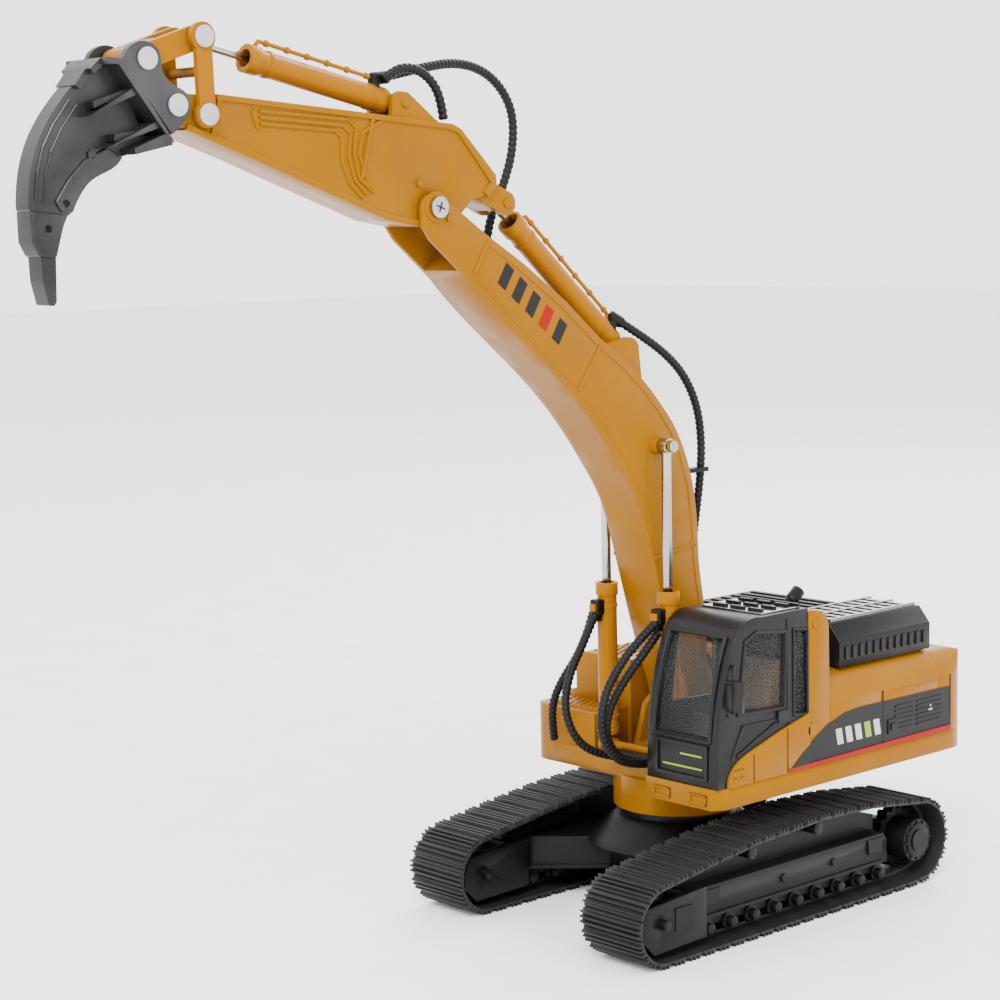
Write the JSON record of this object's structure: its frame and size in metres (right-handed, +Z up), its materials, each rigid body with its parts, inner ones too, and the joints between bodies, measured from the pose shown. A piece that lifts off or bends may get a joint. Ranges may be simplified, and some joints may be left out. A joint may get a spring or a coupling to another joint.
{
  "type": "toy excavator",
  "caption": "Die-cast style scale model of a crawler excavator with a ripper shank: tracks, swinging house, cab, boom, arm, cylinders and hoses.",
  "frame": {"origin": "on the ground under the swing axis", "axes": "+X forward, +Y towards the cab side, +Z up along the swing axis"},
  "size_m": [0.2223, 0.069, 0.1796],
  "materials": {
    "yellow_paint": "satin",
    "black_paint": "satin",
    "dark_steel": "satin",
    "track_plastic": "matte",
    "yellow_plastic": "satin",
    "black_plastic": "matte",
    "chrome_rod": "polished",
    "clear_glass": "polished",
    "hose_rubber": "matte",
    "bright_steel": "satin"
  },
  "bodies": {
    "undercarriage": {"car_body": "black_paint", "swing_ring": "black_paint", "track_frame_left": "black_paint", "track_rollers_left": "black_paint", "track_shoes_left": "track_plastic", "track_chain_left": "track_plastic", "track_frame_right": "black_paint", "track_rollers_right": "black_paint", "track_shoes_right": "track_plastic", "track_chain_right": "track_plastic"},
    "idler_left": {"idler_left": "black_paint"},
    "idler_right": {"idler_right": "black_paint"},
    "sprocket_left": {"sprocket_left": "black_paint"},
    "sprocket_right": {"sprocket_right": "black_paint"},
    "house": {"platform": "yellow_paint", "counterweight": "yellow_paint", "engine_housing": "yellow_plastic", "left_housing": "yellow_plastic", "fuel_tank": "yellow_plastic", "bulkhead": "black_plastic", "tool_box": "yellow_plastic", "engine_cover": "black_plastic", "cooling_cover": "black_plastic", "exhaust_stack": "black_plastic", "cab_pillar": "yellow_plastic", "cab_frame": "yellow_plastic", "cab_side_panel": "black_plastic", "windscreen": "clear_glass", "door_glass_left": "clear_glass", "rear_glass_left": "clear_glass", "door_glass_right": "clear_glass", "rear_glass_right": "clear_glass", "operator_seat": "black_plastic", "control_console": "black_plastic", "mirror": "black_plastic", "hose_channel": "black_plastic", "boom_bracket": "yellow_paint", "lift_base_lugs": "yellow_paint"},
    "boom": {"boom": "yellow_paint", "arm_pivot_bolt": "bright_steel", "crowd_hose": "hose_rubber"},
    "lift_left_barrel": {"lift_left_barrel": "yellow_plastic", "lift_hose_left": "hose_rubber", "lift_hose_left_inner": "hose_rubber"},
    "lift_left_rod": {"lift_left_rod": "chrome_rod"},
    "lift_right_barrel": {"lift_right_barrel": "yellow_plastic", "lift_hose_right": "hose_rubber", "lift_hose_right_outer": "hose_rubber"},
    "lift_right_rod": {"lift_right_rod": "chrome_rod"},
    "arm": {"arm": "yellow_paint", "tip_hose": "hose_rubber", "tip_hose_branch": "hose_rubber"},
    "crowd_barrel": {"crowd_barrel": "yellow_plastic"},
    "crowd_rod": {"crowd_rod": "chrome_rod"},
    "tip_barrel": {"tip_barrel": "yellow_plastic"},
    "tip_rod": {"tip_rod": "chrome_rod"},
    "bell_crank": {"bell_crank": "dark_steel"},
    "tool_link": {"tool_link": "dark_steel"},
    "ripper": {"ripper": "dark_steel"}
  },
  "joints": [
    {"name": "swing", "type": "hinge", "parent": "undercarriage", "child": "house", "pos_m": [0, 0, 0.0204], "axis": [0, 0, 1], "continuous": true},
    {"name": "idler_left_turn", "type": "hinge", "parent": "undercarriage", "child": "idler_left", "pos_m": [0.039, 0.0258, 0.0086], "axis": [0, 1, 0], "continuous": true},
    {"name": "idler_right_turn", "type": "hinge", "parent": "undercarriage", "child": "idler_right", "pos_m": [0.039, -0.0258, 0.0086], "axis": [0, 1, 0], "continuous": true},
    {"name": "sprocket_left_turn", "type": "hinge", "parent": "undercarriage", "child": "sprocket_left", "pos_m": [-0.0404, 0.0258, 0.0097], "axis": [0, 1, 0], "continuous": true},
    {"name": "sprocket_right_turn", "type": "hinge", "parent": "undercarriage", "child": "sprocket_right", "pos_m": [-0.0404, -0.0258, 0.0097], "axis": [0, 1, 0], "continuous": true},
    {"name": "boom_lift", "type": "hinge", "parent": "house", "child": "boom", "pos_m": [-0.0015, 0, 0.039], "axis": [0, -1, 0], "range_deg": [-40, 8], "deforming": ["crowd_hose"]},
    {"name": "lift_left_base", "type": "hinge", "parent": "house", "child": "lift_left_barrel", "pos_m": [0.012, 0.0089, 0.0336], "axis": [0, -1, 0], "range_deg": [-39.6, 8], "deforming": ["lift_hose_left", "lift_hose_left_inner"]},
    {"name": "lift_left_head", "type": "hinge", "parent": "boom", "child": "lift_left_rod", "pos_m": [0.0121, 0.0089, 0.0984], "axis": [0, -1, 0], "range_deg": [-0.3, 1.1]},
    {"name": "lift_right_base", "type": "hinge", "parent": "house", "child": "lift_right_barrel", "pos_m": [0.012, -0.0089, 0.0336], "axis": [0, -1, 0], "range_deg": [-39.6, 8], "deforming": ["lift_hose_right", "lift_hose_right_outer"]},
    {"name": "lift_right_head", "type": "hinge", "parent": "boom", "child": "lift_right_rod", "pos_m": [0.0121, -0.0089, 0.0984], "axis": [0, -1, 0], "range_deg": [-0.3, 1.1]},
    {"name": "arm_fold", "type": "hinge", "parent": "boom", "child": "arm", "pos_m": [0.0699, 0, 0.14765], "axis": [0, -1, 0], "range_deg": [-38, 6], "deforming": ["tip_hose"]},
    {"name": "crowd_base", "type": "hinge", "parent": "boom", "child": "crowd_barrel", "pos_m": [0.0173, 0, 0.1185], "axis": [0, -1, 0], "range_deg": [-1.3, 7.2]},
    {"name": "crowd_head", "type": "hinge", "parent": "arm", "child": "crowd_rod", "pos_m": [0.0503, 0, 0.1482], "axis": [0, -1, 0], "range_deg": [-7.3, 45.2]},
    {"name": "crank_turn", "type": "hinge", "parent": "arm", "child": "bell_crank", "pos_m": [0.1212, 0, 0.164], "axis": [0, -1, 0], "range_deg": [-30, 15]},
    {"name": "tip_base", "type": "hinge", "parent": "arm", "child": "tip_barrel", "pos_m": [0.0755, 0, 0.1668], "axis": [0, -1, 0], "range_deg": [-3.1, 1.7]},
    {"name": "tip_head", "type": "hinge", "parent": "bell_crank", "child": "tip_rod", "pos_m": [0.12165, 0, 0.17713], "axis": [0, -1, 0], "range_deg": [-13.8, 27.4]},
    {"name": "link_head", "type": "hinge", "parent": "bell_crank", "child": "tool_link", "pos_m": [0.12165, 0, 0.17713], "axis": [0, -1, 0], "range_deg": [-4.3, 8.3]},
    {"name": "ripper_turn", "type": "hinge", "parent": "arm", "child": "ripper", "pos_m": [0.12767, 0, 0.16548], "axis": [0, -1, 0], "range_deg": [-43.5, 21.8]}
  ],
  "couplings": [
    {"joint": "lift_left_base", "follows": "boom_lift", "ratio": 0.976},
    {"joint": "lift_left_head", "follows": "boom_lift", "ratio": -0.024},
    {"joint": "lift_right_base", "follows": "boom_lift", "ratio": 0.976},
    {"joint": "lift_right_head", "follows": "boom_lift", "ratio": -0.024},
    {"joint": "crowd_base", "follows": "arm_fold", "ratio": -0.182},
    {"joint": "crowd_head", "follows": "arm_fold", "ratio": -1.182},
    {"joint": "tip_base", "follows": "crank_turn", "ratio": 0.096},
    {"joint": "tip_head", "follows": "crank_turn", "ratio": -0.904},
    {"joint": "link_head", "follows": "crank_turn", "ratio": -0.27},
    {"joint": "ripper_turn", "follows": "crank_turn", "ratio": 1.44}
  ]
}
